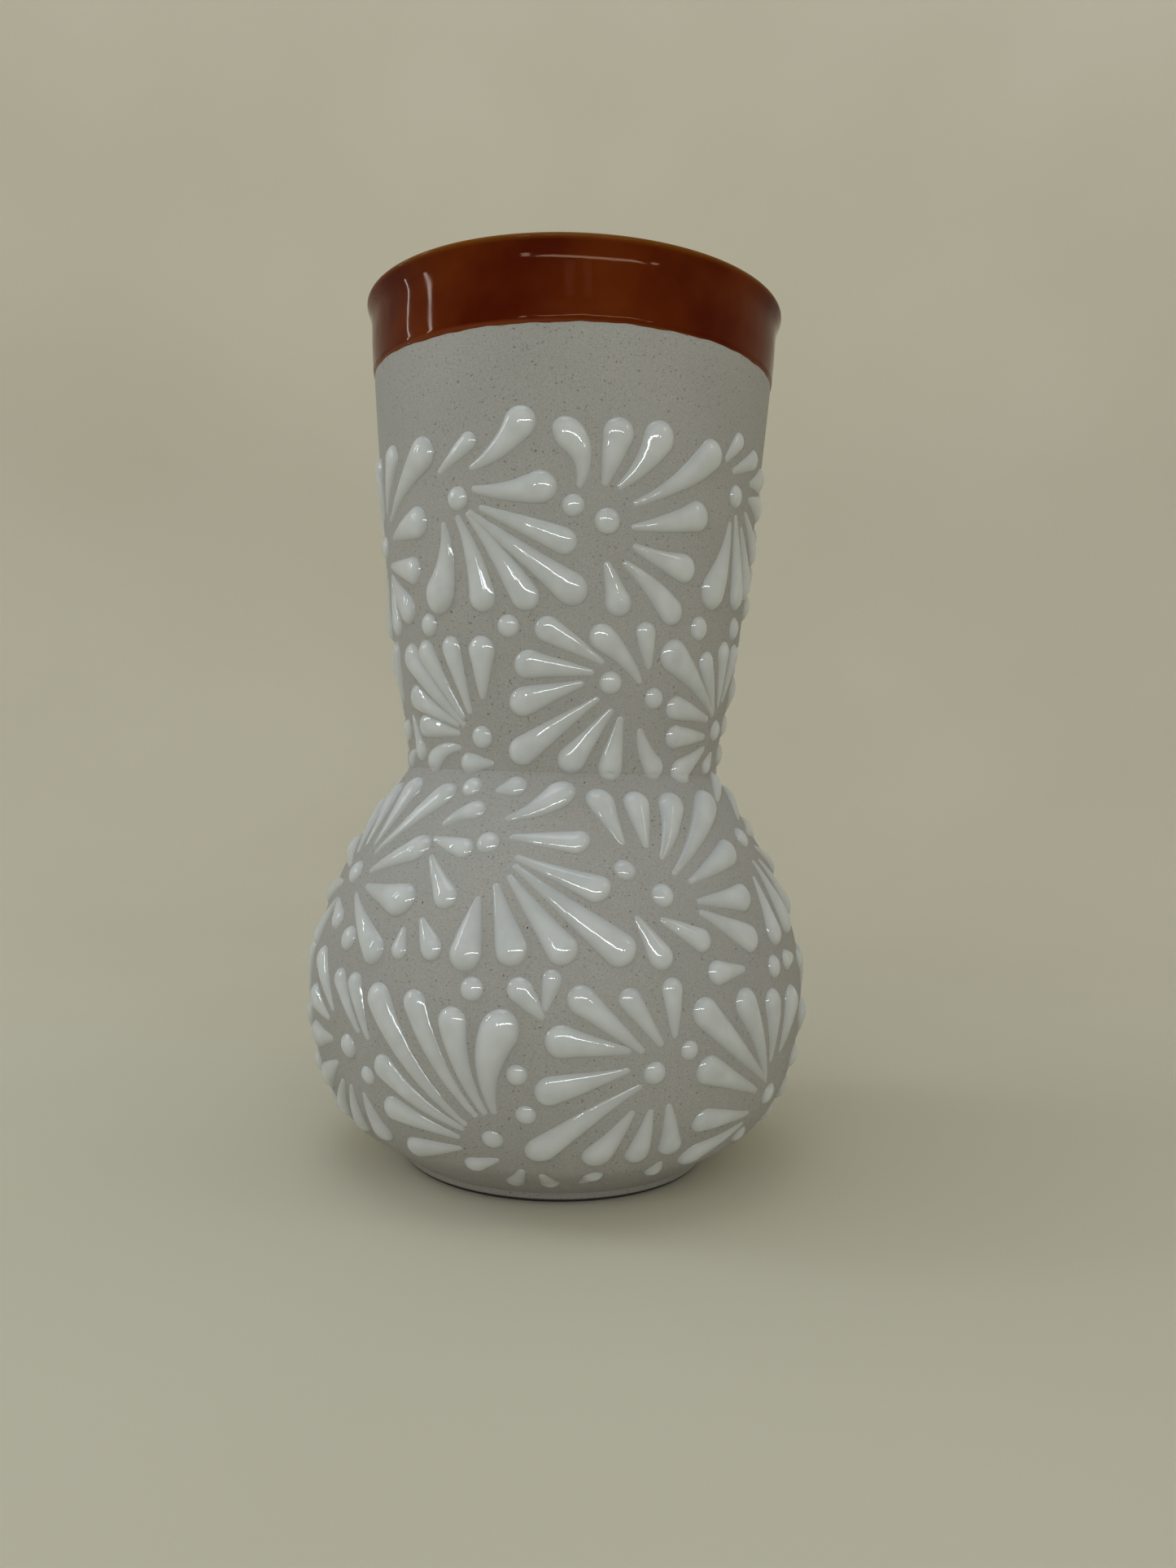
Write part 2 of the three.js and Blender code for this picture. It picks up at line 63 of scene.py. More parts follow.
ENAMEL_RISE = 0.23  # height of a stroke's crown over its width
ENAMEL_SINK = 0.15  # how far its edge goes into the clay
CROWN_ROUNDNESS = 0.7  # 0.5 is an ellipse and 1 a parabola
TAIL_WIDTH = 2.1
SWELL_LENGTHS = (8, 34)  # a short stroke swells evenly, a long one late:
SWELL_POWERS = (0.9, 1.3)
WOBBLE = 0.035  # how much a stroke's width wavers, over its width
WOBBLE_WAVES = 7
FULL_THICKNESS = 1.6  # enamel this thick or more hides the clay
DISCS = 26  # round touches that a stroke is made of
STATIONS = 30  # cross sections along a stroke
ACROSS = 13  # points across a stroke
SEED_STEP, SEED_TURN = 2.4, 0.37  # from stroke to stroke, and for each degree round the vase

# Outlines as (radius, height). The foot runs from the middle of its recess, over the ring
# that it rests on, and up its rounded edge.
FOOT_OUTLINE = [
    (0, 2.5), (34.2, 2.5), (35.9, 0.5), (36.7, 0),
    (42.3, 0), (43.4, 0.3), (44.1, 0.8), (44.6, 1.5), (44.8, 2.1), (45, 2.6),
]
BELLY_OUTSIDE = [
    (45.3, 3.2), (52.5, 8.4), (61.6, 15.2), (69.3, 29), (72.7, 49),
    (70.4, 68), (63.4, 87), (54.9, 101), (45.6, WAIST_HEIGHT),
]
BELLY_INSIDE = [
    (0, 9), (34, 9.2), (52, 16), (62.2, 29), (66.7, 49),
    (64.5, 68), (57.8, 86), (49.8, 99), (40.6, WAIST_HEIGHT),
]
NECK_OUTSIDE = [
    (45.6, WAIST_HEIGHT), (46.8, 126), (50.7, 149), (53.8, 175),
    (56.4, 203), (58.5, 229), (58.8, 243),
]
NECK_WALL = 5.0
NECK_LIP = [(59.2, 246), (58.8, 248.3), (57, 249), (55.2, 248.2), (54.4, 246)]
BELLY_STEPS, BELLY_INSIDE_STEPS, NECK_STEPS, LIP_STEPS = 14, 8, 16, 5  # between outline points

# The glazed lip, from its edge on the bare clay, up the outside, over the top and down inside.
LIP_EDGE = [(58.45, 228.9), (58.63, 229), (58.72, 229.4), (58.95, 230.2), (59.03, 231.8)]
LIP_OUTSIDE = [(59.4, 237.5), (59.6, 242.5), (59.9, 245), (60.5, 247), (61.0, 248.4)]
LIP_TOP = [
    (61.05, 249), (60.7, 249.55), (59.9, 249.88), (58.9, 249.95), (57.4, 249.65), (55.8, 248.9),
]
LIP_INSIDE = [(54.5, 247.5), (53.6, 245.5), (53.1, 243), (52.9, 236), (52.7, 228.6), (53.1, 228.4)]

# The lip's hand-dipped edge wanders up and down: (height, waves round the neck, phase).
EDGE_WAVES = [(0.7, 1, -1.0292), (0.35, 3, 0.4), (0.1, 11, 0), (0.09, 29, 1), (0.06, 61, 0)]
EDGE_WAVE_REACH = 9  # the wandering dies out this far above the edge

# The lining follows the wall to this height, and then goes on behind the lip's glaze.
LINING_HEIGHT = 228
LINING_TOP = [(52.75, 228.6), (53.0, 231)]

# ---------------------------------------------------------------- the enamel design
#
# A flower has a centre on the wall (degrees round from the front, height) and a round dot
# there. Its strokes are laid out flat in millimetres, right and up from the dot:
#   (tail right, tail up, head right, head up, head width, bow to the left of the stroke)
# and a dot beside the centre is (right, up, width). The same half is used twice round the vase.

FLOWER_ROWS = {
    "flower_collar": [
        (-76, 178, 7, [
            (6, 9.5, 14, 22.5, 8, 0), (9.5, 6.5, 30, 21, 9.5, 0), (11, 1.5, 25.5, 3.5, 9.4, 0),
            (6.5, -6, 21.5, -9, 7.8, 0), (6, -9, 16.5, -19, 8.8, 0), (5, -10, 7.5, -22.5, 7.5, 0),
            (0, 9, -1, 22, 8, 0), (-6, 7.5, -11, 21, 8, 0), (-8, 3, -15.5, 8, 7, 0),
            (-8, -2, -16, -3, 7, 0), (-7, -6, -18.5, -13, 8, 0), (-3, -9, -8, -22, 8, 0),
        ]),
        (-32.5, 186, 6.6, [
            (-5.5, 7.5, 3.8, 14.2, 5.4, 0), (5, 7.5, 18.5, 18, 8.6, -1.3),
            (5.5, 2, 23.5, 2, 8.3, -1), (7.5, -3, 29, -11.5, 7.6, 0), (4, -4, 30.5, -23.5, 9, 0),
            (3.5, -4.5, 18.5, -25.5, 8, 0.5), (0, -5, 6.5, -25.5, 8.3, 1),
            (-5, -6.5, -7.5, -24, 10.3, 1.5),
        ]),
        (10.3, 180, 7, [
            (-9, 3.5, 6), (-7.5, 9, -10.7, 21.1, 8, -1.9), (-1, 9.5, 1.9, 21.9, 8.8, 0),
            (3, 9, 13, 22, 8.8, -1), (7.5, 5, 30.5, 20.6, 8.8, -1.2),
            (7.5, -1, 26.5, 4, 8.3, -0.5), (8, -6, 23, -10, 7.8, -0.5),
            (5.5, -10.5, 19.5, -21.5, 8.2, 0.5), (0.5, -11, 4, -20.5, 7.2, 0),
        ]),
        (55, 192, 6.6, [
            (-6.5, 9, -1.5, 14.5, 5.4, 0), (-2.5, 6.5, 9.5, 12, 5.8, 0),
            (-1.5, -8, -6, -26.5, 10.3, 1), (1.5, -5.5, 8, -26, 8.8, 0), (6, -8, 16, -22, 8.5, 0),
            (8, -3.5, 22, -12, 8, 0), (10, 1, 23, 1, 8, 0), (9.5, 5.5, 21, 9, 7, 0),
        ]),
    ],
    "flower_neck": [
        (-73, 126, 6.6, [
            (7, 3.5, 10.5, -6, 6, 0), (5.5, -6.5, 1.5, -8.5, 5.5, 0), (-1, 9, 0, 22, 7.5, 0),
            (-5, 8, -11, 21, 7.5, 0), (-8, 5, -21, 15, 8, 0), (-9, 1, -22, 4, 7, 0),
            (-9, -3, -21, -5, 7.2, 0), (-6, -6, -13, -10, 5, -1),
        ]),
        (-28, 124, 6.4, [
            (-6, 3.5, -26.5, 22, 8.8, 0), (-6, 5.5, -18.5, 23, 7.2, 0),
            (-3.5, 7, -8.5, 24, 6.7, 0), (1, 11, 1.5, 23, 8.2, 0), (-8, 3.5, -25.5, 11, 7.4, 0),
            (-8, 1, -22, 3, 7, 0), (-8, -3, -18, -6.5, 6.6, -1), (2.5, -7, -4.5, -7, 5.8, 0),
        ]),
        (14, 139, 6.4, [
            (13, -3.5, 6), (-3, 5.5, -17.5, 13.5, 7.2, 0), (-5.5, 2.6, -22, 4.3, 7.8, 0),
            (-8, -0.5, -22.5, -5.5, 8.2, 0), (-3.5, -4.5, -22, -18.5, 8.5, 0),
            (0.5, -7.5, -9, -20.5, 7.6, 0), (3.5, -9.5, 1.5, -22.5, 7.2, 0),
            (9.5, -12.5, 14.5, -22, 6.8, -0.6), (8, 1, -3, 11.7, 7.2, -0.7),
            (10.5, 5, 9, 13.5, 6.4, 0),
        ]),
        (66, 128, 6.4, [
            (-4.5, 4.5, -27.5, 19.5, 8.8, 0), (-4.5, 5.5, -14, 18.5, 6.8, 0),
            (-1.5, 7.5, -5, 22, 6.6, 0), (-7.5, 3, -23, 5.5, 6.8, 0), (-7.5, -2, -21, -2.5, 7, 0),
            (-6.5, -5.5, -17, -12, 7.5, 0), (0, -7, -3, -10.5, 5.5, 0), (1.5, 9, 4, 22, 7, 0),
        ]),
    ],
    "flower_shoulder": [
        (-62, 86, 7, [
            (11, -17.5, 7), (2.5, 9.5, 4, 27, 9, 0), (6, 7, 19.5, 26, 8.8, 0),
            (9, 1.5, 23, 9.5, 8.8, 0), (10.5, -3, 27, -5, 9.2, 0), (6.5, -6, 23.5, -19, 8.4, 0),
            (-5, -9, 0.5, -13.5, 6.6, 0), (-4, 9, -7.5, 25, 8.5, 0), (-8, 6, -19, 20, 8.5, 0),
            (-9, 1.5, -22, 6, 8.5, 0), (-9, -4, -22, -8, 8.5, 0), (-7, -9, -16, -20, 8, 0),
        ]),
        (-19, 97, 6.5, [
            (-14.5, 5, -6, 9.5, 5.8, 0.5), (-16, 0, -6.5, -2, 6.4, 0),
            (-15.5, -5.5, -8.5, -15.5, 7, 0), (4, 7.5, 15.5, 15, 8.6, -0.9),
            (6.5, 2, 23, 1, 7.2, 0), (9, -4, 30.5, -12, 7.2, 0), (9, -6.5, 38.5, -27.5, 9, 0),
            (8, -9.5, 24, -27.5, 8, 0), (5, -12, 11.5, -28, 8.2, 0),
            (0.8, -15.8, -0.3, -29.6, 9.2, 0), (-19.5, -25.5, -20, -30.5, 5.2, 0),
            (-14, -22.5, -10, -29, 6.6, 0),
        ]),
        (24, 85, 6.6, [
            (-9, 7, 6), (-8, 15, -11, 27, 7.8, 0), (-1.5, 14, -1, 26.5, 8.2, 0),
            (2.4, 10.6, 9.8, 25.8, 8.8, -0.8), (5, 6, 24, 26, 10, -0.5),
            (9.5, 3.5, 26.5, 11, 8.8, 0), (11, -2, 27.5, -2, 7.8, 0), (11, -5, 27.5, -13, 8, 0),
            (-1, -6.5, 9.5, -12, 6.6, 0), (-8, -6, -3, -15.5, 7, 0),
        ]),
        (63, 98, 6.6, [
            (-6, -12.5, -5.5, -27.5, 8, 0), (-1, -8, 6.5, -25.5, 9, 0),
            (-2, 12.5, 6.5, 18.5, 6.5, 0), (8, 6, 18, 13, 8, 0), (10, 1, 24, 2, 8, 0),
            (9, -4, 25, -10, 8, 0), (5, -8, 18, -22, 8.5, 0), (22, -16.5, 31.5, -22.5, 7.4, 0),
        ]),
    ],
    "flower_belly": [
        (-86, 30, 6.5, [
            (-22, 33, 6.2), (-4, 8, -11, 32, 8.5, 0), (3, 9, 4.5, 31, 8, 0),
            (7, 6, 13.5, 15, 7, 0), (8, 0, 17, 1, 7, 0), (6, -6, 13, -13, 7, 0),
            (-8, 5, -24, 18, 8.5, 0), (-9, 1, -27, 6, 7.5, 0), (-9, -4, -25, -4, 7.5, 0),
            (-7, -8, -19, -14, 8, 0), (-1, -9, -2, -15, 6, 0),
        ]),
        (-49, 42, 6.8, [
            (7.5, -6.5, 5.4), (5, 5, -5, 17, 6.2, 0), (9, 4, 2.5, 17, 6, 0),
            (-8, 8.5, -19.5, 20, 8, 0), (-11, 5.5, -22.5, 9, 7.6, 0), (-9.5, 0, -23, -1.5, 8, 0),
            (-8, -6.5, -19.5, -13, 8, 0), (-6.5, -11.5, -14, -21.5, 7.4, 0),
            (-2, -12, -5.5, -24.5, 7.2, 0), (4, -13, 5.5, -23.5, 7.8, 0),
        ]),
        (-13, 24, 5.8, [
            (7, 18.5, 5.6), (9, 8, 5.4), (-7, 4, -32.5, 33.3, 8.6, 1.7),
            (-4, 7, -20.7, 33.8, 7.3, 1.3), (-1.5, 8, -9.7, 30.2, 7.8, 1.2),
            (1, 8.5, 2.5, 29, 10.6, 2), (-8, 2.5, -30.5, 15.8, 7.4, 0.9),
            (-9.5, -0.5, -28, 4.5, 7.6, 0), (-9.5, -4.5, -22.5, -7.5, 8, 0),
            (0, -7.5, -6, -10.5, 6, 0), (6, -11.6, 2.5, -21, 5.4, 0),
            (11, -13.6, 11.5, -20.8, 5.6, 0),
        ]),
        (20, 42, 6.2, [
            (9.5, 5, 5.4), (-4, 6, -19, 18.5, 7.6, 0), (1, 7.5, -7, 18.5, 6, 0),
            (5, 9.5, 4.5, 20.5, 6.4, 0), (-7.5, 6, -24, 8.5, 8.2, 0), (-7.5, 1, -26, -4, 8.2, 0),
            (-4, -3.5, -25.7, -20.8, 9.2, -1.3), (-5, -10.5, -11.5, -23, 8.2, 0),
            (0, -10.5, -1, -23.5, 7.2, 0), (5, -9.5, 8, -22, 7, 0), (-28, 16.5, -26, 23.5, 5, 0),
            (-29, 14.5, -34, 20.5, 7, 0), (-11, -39.4, -10, -33.2, 5.2, 0),
            (7, -29.2, 6.5, -33.2, 5.6, 0),
        ]),
        (57, 29, 6.5, [
            (-5, 5.5, -32.5, 27.3, 8.6, 1), (-4.5, 5, -18, 28, 8.4, 0),
            (-4, 11, -5.5, 26.5, 8.4, 0), (1.5, 12.5, 7, 25, 9.4, 0), (-9, 3, -30.5, 12.5, 7.8, 0),
            (-9, -4, -27.5, -2, 7.6, 0), (-9, -7.5, -23.5, -14, 8.4, 0),
            (-2, -14, -6, -12, 5.5, 0),
        ]),
    ],
}

# Single touches between the rows: (angle, height, a dot's width or one short stroke).
LOOSE_DOTS = [
    (-46.5, 154, 6.6), (-17.3, 153, 6.2), (44, 155, 6.8), (66, 157, 6.6),
    (-29.8, 110.8, 6.2), (-17, 62, 6.2), (55, 64.5, 6.5),
]
LOOSE_PETALS = [
    (-16, 111, (-3.5, -1, 1, 0.5, 6.2, 0)), (38, 65.5, (6, 0, -3.5, 0, 6.4, 0)),
    (65, 65, (4, 0, -3, 0, 6, 0)),
]

# ---------------------------------------------------------------- camera, floor and light

CAMERA_PLACE = (0, -0.35598, 0.12004)
CAMERA_TURN = {"yaw": 1.237, "pitch": 1.401, "roll": 1.546}
SENSOR_WIDTH, LENS = 36, 27.03  # millimetres

FLOOR_SEGMENTS, FLOOR_STEPS = 96, 24
FLOOR_FLAT, FLOOR_BEND, WALL_TOP = 350, 600, 1300  # millimetres

LIT_PLACE = (0, 0, 0.12)  # what every light is turned to
DAYLIGHT, SKY, WINDOW_LIGHT = (0.93, 0.97, 1.0), (0.84, 0.92, 1.0), (0.86, 0.95, 1.0)
LAMPLIGHT, DUSK = (1.0, 0.86, 0.62), (0.9, 0.8, 1.0)
ROOM_COLOUR, ROOM_STRENGTH = (0.9, 0.95, 1.0), 0.26

# Soft lights: (name, place, size, watts, colour, what it falls on).
SOFT_LIGHTS = [
    ("window", (-0.05, -0.80, 0.62), (0.8, 0.35), 1.45, WINDOW_LIGHT, "matt"),
    ("side_window", (-0.85, 0.02, 0.45), (0.22, 0.5), 1.4, SKY, "matt"),
    ("far_window_left", (-0.048, -0.78, 0.46), (0.06, 0.08), 0.014, DUSK, "everything"),
    ("far_window_right", (0.072, -0.78, 0.46), (0.06, 0.08), 0.014, DUSK, "everything"),
    ("overhead", (-0.15, -0.15, 1.25), (0.7, 0.7), 2.1, DAYLIGHT, "everything"),
    ("lamp", (0.7, -0.3, 0.7), (0.12, 0.2), 0.2, LAMPLIGHT, "everything"),
]

# The bright edges of the windows, as the enamel and the glaze mirror them.
WINDOW_BRIGHTNESS = 60  # watts from each square metre
WINDOW_BARS = [
    ("window_top", (0.09, -0.80, 0.35), (0.90, 0.055)),
    ("window_left", (-0.36, -0.76, 0.27), (0.06, 0.18)),
    ("window_right", (0.54, -0.68, 0.25), (0.05, 0.20)),
    ("side_near_post", (-0.85, -0.12, 0.45), (0.03, 0.40)),
    ("side_far_post", (-0.85, 0.14, 0.45), (0.015, 0.40)),
]


def look_from(position, yaw, pitch, roll):
    """Camera matrix: yaw to the right of +Y, pitch downwards, and roll, all in degrees."""
    yaw, pitch, roll = math.radians(yaw), math.radians(pitch), math.radians(roll)
    ahead = Vector((
        math.sin(yaw) * math.cos(pitch), math.cos(yaw) * math.cos(pitch), -math.sin(pitch),
    ))
    level = Vector((math.cos(yaw), -math.sin(yaw), 0))
    upright = level.cross(ahead)
    right = level * math.cos(roll) + upright * math.sin(roll)
    up = upright * math.cos(roll) - level * math.sin(roll)
    axes = Matrix((right, up, -ahead)).transposed().to_4x4()
    return Matrix.Translation(position) @ axes


def add_camera():
    data = bpy.data.cameras.new("camera")
    data.sensor_width = SENSOR_WIDTH
    data.lens = LENS
    camera = bpy.data.objects.new("camera", data)
    camera.matrix_world = look_from(CAMERA_PLACE, **CAMERA_TURN)
    bpy.context.collection.objects.link(camera)
    bpy.context.scene.camera = camera


def add_area_light(name, position, size, power, colour, falls_on):
    """A rectangle of light that falls on "everything", or only on "matt" or "gloss"."""
    data = bpy.data.lights.new(name, "AREA")
    data.shape = "RECTANGLE"
    data.size, data.size_y = size
    data.energy = power
    data.color = colour
    light = bpy.data.objects.new(name, data)
    light.location = position
    aim = Vector(LIT_PLACE) - Vector(position)
    light.rotation_euler = aim.to_track_quat("-Z", "Y").to_euler()
    light.visible_camera = False
    light.visible_diffuse = falls_on != "gloss"
    light.visible_glossy = falls_on != "matt"
    bpy.context.collection.objects.link(light)


def add_lights():
    for light in SOFT_LIGHTS:
        add_area_light(*light)
    for name, place, size in WINDOW_BARS:
        power = WINDOW_BRIGHTNESS * size[0] * size[1]
        add_area_light(name, place, size, power, WINDOW_LIGHT, "gloss")
    world = bpy.data.worlds.new("room")
    world.use_nodes = True
    background = world.node_tree.nodes["Background"]
    background.inputs["Color"].default_value = (*ROOM_COLOUR, 1)
    background.inputs["Strength"].default_value = ROOM_STRENGTH
    bpy.context.scene.world = world
    bpy.context.scene.view_settings.view_transform = "Standard"


# ---------------------------------------------------------------- meshes


def add_object(name, mesh, material):
    mesh.materials.append(material)
    obj = bpy.data.objects.new(name, mesh)
    bpy.context.collection.objects.link(obj)
    return obj


def smooth_mesh(name, points, faces):
    mesh = bpy.data.meshes.new(name)
    mesh.from_pydata([tuple(point) for point in points], [], faces)
    mesh.shade_smooth()
    return mesh


def revolve(name, outline, segments=SEGMENTS, move=None):
    """A turned body from (radius, height) points in millimetres; move() shifts each vertex."""
    body = bmesh.new()
    vertices = [body.verts.new((radius * MM, 0, height * MM)) for radius, height in outline]
    edges = [body.edges.new(pair) for pair in zip(vertices, vertices[1:])]
    bmesh.ops.spin(
        body, geom=vertices + edges, axis=(0, 0, 1), cent=(0, 0, 0),
        angle=2 * math.pi, steps=segments,
    )
    bmesh.ops.remove_doubles(body, verts=body.verts, dist=SAME_POINT)
    bmesh.ops.recalc_face_normals(body, faces=body.faces)
    if move:
        for vertex in body.verts:
            vertex.co = move(vertex.co)
    mesh = bpy.data.meshes.new(name)
    body.to_mesh(mesh)
    body.free()
    mesh.shade_smooth()
    mesh.set_sharp_from_angle(angle=math.radians(SHARPEST_BEND))
    return mesh


def spline(points, steps):
    """A smooth curve through the points, as an array with that many steps between them."""
    points = np.array(points, dtype=float)
    padded = np.vstack([points[:1], points, points[-1:]])
    share = np.linspace(0, 1, steps, endpoint=False)[:, None]
    runs = []
    for before, start, end, after in zip(padded, padded[1:], padded[2:], padded[3:]):
        leave, arrive = (end - before) / 2, (after - start) / 2
        cubic = 2 * start - 2 * end + leave + arrive
        square = 3 * end - 3 * start - 2 * leave - arrive
        runs.append(((cubic * share + square) * share + leave) * share + start)
    return np.vstack(runs + [points[-1:]])


def lengths_along(points):
    steps = np.hypot(*np.diff(points, axis=0).T)
    return np.concatenate([[0], np.cumsum(steps)])


def offset(points, distance):
    """The points moved sideways, to the right of the way they run."""
    points = np.array(points, dtype=float)
    along = np.gradient(points, axis=0)
    along /= np.hypot(along[:, 0], along[:, 1])[:, None]
    return points + distance * np.column_stack([along[:, 1], -along[:, 0]])


belly_outside = spline(BELLY_OUTSIDE, BELLY_STEPS)
belly_inside = spline(BELLY_INSIDE, BELLY_INSIDE_STEPS)
neck_outside = spline(NECK_OUTSIDE, NECK_STEPS)
wall = np.vstack([belly_outside, neck_outside[1:]])
wall_length = lengths_along(wall)


def on_wall(centre, right, up, lift):
    """Points that lie right and up of a centre, measured on the wall, and lifted off it."""
    angle, height = centre
    length = np.interp(height, wall[:, 1], wall_length) + up

    def at(distance):
        radius = np.interp(distance, wall_length, wall[:, 0])
        return radius, np.interp(distance, wall_length, wall[:, 1])

    radius, height = at(length)
    radius_above, height_above = at(length + SLOPE_REACH)
    radius_below, height_below = at(length - SLOPE_REACH)
    along_radius, along_height = radius_above - radius_below, height_above - height_below
    size = np.hypot(along_radius, along_height)
    turn = math.radians(angle) + right / radius
    out = radius + lift * along_height / size
    z = height - lift * along_radius / size
    return np.stack([out * np.sin(turn), -out * np.cos(turn), z], axis=-1) * MM


# ---------------------------------------------------------------- clay and glaze


def make_belly(clay):
    outline = FOOT_OUTLINE + [tuple(point) for point in belly_outside]
    outline += [tuple(point) for point in belly_inside[::-1]]
    belly = add_object("belly_clay", revolve("belly_clay", outline), clay)
    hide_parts("belly")
    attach(belly, "root")


def make_neck(clay):
    inside = offset(neck_outside, -NECK_WALL)
    outline = [tuple(point) for point in neck_outside] + NECK_LIP
    outline += [tuple(point) for point in inside[::-1]]
    outline.append(outline[0])
    neck = add_object("neck_clay", revolve("neck_clay", outline), clay)
    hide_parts("neck")
    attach(neck, "root")


def wavy_edge(point):
    """The hand-dipped lower edge of the rim's glaze wanders a little up and down."""
    turn = math.atan2(point.x, -point.y)
    wander = sum(height * math.sin(count * turn + phase) for height, count, phase in EDGE_WAVES)
    above_edge = point.z / MM - GLAZE_EDGE_HEIGHT
    share = min(max(1 - above_edge / EDGE_WAVE_REACH, 0), 1)
    return Vector((point.x, point.y, point.z + wander * share * MM))


def make_rim_glaze(glaze):
    over = spline(LIP_EDGE + LIP_OUTSIDE + LIP_TOP + LIP_INSIDE, LIP_STEPS)
    mesh = revolve("rim_glaze_coat", [tuple(point) for point in over], move=wavy_edge)
    rim = add_object("rim_glaze_coat", mesh, glaze)
    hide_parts("rim_glaze")
    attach(rim, "root")


def make_lining(glaze):
    neck_inside = offset(neck_outside, -NECK_WALL)
    neck_inside = neck_inside[neck_inside[:, 1] < LINING_HEIGHT]
    face = np.vstack([belly_inside[:-1], neck_inside])
    over = offset(face, -GLAZE_LIFT - GLAZE_THICKNESS)
    over[0, 0] = 0
    over = np.vstack([over, LINING_TOP])
    lining = add_object("glaze_lining_coat", revolve("glaze_lining_coat", over.tolist()), glaze)
    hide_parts("glaze_lining")
    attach(lining, "root")


# ---------------------------------------------------------------- enamel


def touch_shape(stroke, seed):
    """Centres along a stroke, and the radius of the round touch at each of them."""
    if len(stroke) == 3:
        return np.zeros(1), np.array([stroke[2] / 2])
    tail_right, tail_up, head_right, head_up, width, _ = stroke
    length = math.hypot(head_right - tail_right, head_up - tail_up)
    share = np.linspace(0, 1, DISCS)
    swell = share ** np.interp(length, SWELL_LENGTHS, SWELL_POWERS)
    radius = (TAIL_WIDTH + (width - TAIL_WIDTH) * swell) / 2
    radius *= 1 + WOBBLE * np.sin(WOBBLE_WAVES * share + seed) * share
    return share * length, radius


def touch_relief(centres, radii):
    """A grid over one touch, x along it and y across it, and how high it rises there."""
    start, end = (centres - radii).min(), (centres + radii).max()
    turn = np.linspace(0, math.pi, STATIONS)
    x = (start + end) / 2 - (end - start) / 2 * np.cos(turn)
    reach = radii[:, None] ** 2 - (x[None, :] - centres[:, None]) ** 2
    half = np.sqrt(np.clip(reach, 0, None).max(axis=0))
    y = half[:, None] * -np.cos(np.linspace(0, math.pi, ACROSS))[None, :]
    each_radius = radii[:, None, None]
    from_centre = (x[None, :, None] - centres[:, None, None]) ** 2 + y[None] ** 2
    share = 1 - from_centre / each_radius ** 2
    crowns = 2 * ENAMEL_RISE * each_radius
    rise = (crowns * np.clip(share, 0, None) ** CROWN_ROUNDNESS).max(axis=0)
    return x, y, rise


def lay_out(stroke, x, y):
    """How far right and up of the flower's centre the points of a touch's grid are."""
    if len(stroke) == 3:
        return stroke[0] + x[:, None], stroke[1] + y
    tail = np.array(stroke[:2], dtype=float)
    run = np.array(stroke[2:4], dtype=float) - tail
    bow = stroke[5]
    length = np.hypot(*run)
    ahead = run / length
    left = np.array([-ahead[1], ahead[0]])
    way = x / length
    aside = 4 * bow * way * (1 - way)  # a parabola from the tail to the head
    slope = 4 * bow * (1 - 2 * way) / length
    along = ahead[None, :] + slope[:, None] * left[None, :]
    along /= np.hypot(along[:, 0], along[:, 1])[:, None]
    middle = tail + x[:, None] * ahead + aside[:, None] * left
    return middle[:, :1] - y * along[:, 1:], middle[:, 1:] + y * along[:, :1]


def add_touch(centre, stroke, seed, points, faces, thickness):
    """Adds one stroke or dot: a smooth blob with its edge sunk into the clay."""
    x, y, rise = touch_relief(*touch_shape(stroke, seed))
    right, up = lay_out(stroke, x, y)
    first = len(points)
    points.extend(on_wall(centre, right, up, rise - ENAMEL_SINK).reshape(-1, 3))
    thickness.extend((rise / rise.max()).ravel() * min(rise.max() / FULL_THICKNESS, 1))
    for station in range(STATIONS - 1):
        here, there = first + station * ACROSS, first + (station + 1) * ACROSS
        for place in range(ACROSS):
            beside = (place + 1) % ACROSS
            faces.append((here + place, there + place, there + beside, here + beside))


def make_enamel(name, node, centre, strokes, enamel):
    points, faces, thickness = [], [], []
    for number, stroke in enumerate(strokes):
        seed = SEED_STEP * number + SEED_TURN * centre[0]  # no two strokes waver alike
        add_touch(centre, stroke, seed, points, faces, thickness)
    mesh = smooth_mesh(name, points, faces)
    layer = mesh.attributes.new("thickness", "FLOAT", "POINT")
    layer.data.foreach_set("value", thickness)
    piece = add_object(name, mesh, enamel)
    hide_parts(node)
    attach(piece, "root")


def both_halves(places):
    """The design of one half again on the other half."""
    return list(places) + [(angle + 180, *rest) for angle, *rest in places]


def make_all_enamel(enamel):
    for row, flowers in FLOWER_ROWS.items():
        for number, (angle, height, dot, strokes) in enumerate(both_halves(flowers), start=1):
            node = f"{row}_{number}"
            touches = [(0, 0, dot), *strokes]
            make_enamel(f"{node}_enamel", node, (angle, height), touches, enamel)
    for number, (angle, height, dot) in enumerate(both_halves(LOOSE_DOTS), start=1):
        node = f"loose_dot_{number}"
        make_enamel(f"{node}_enamel", node, (angle, height), [(0, 0, dot)], enamel)
    for number, (angle, height, stroke) in enumerate(both_halves(LOOSE_PETALS), start=1):
        node = f"loose_petal_{number}"
        make_enamel(f"{node}_enamel", node, (angle, height), [stroke], enamel)


# ---------------------------------------------------------------- materials

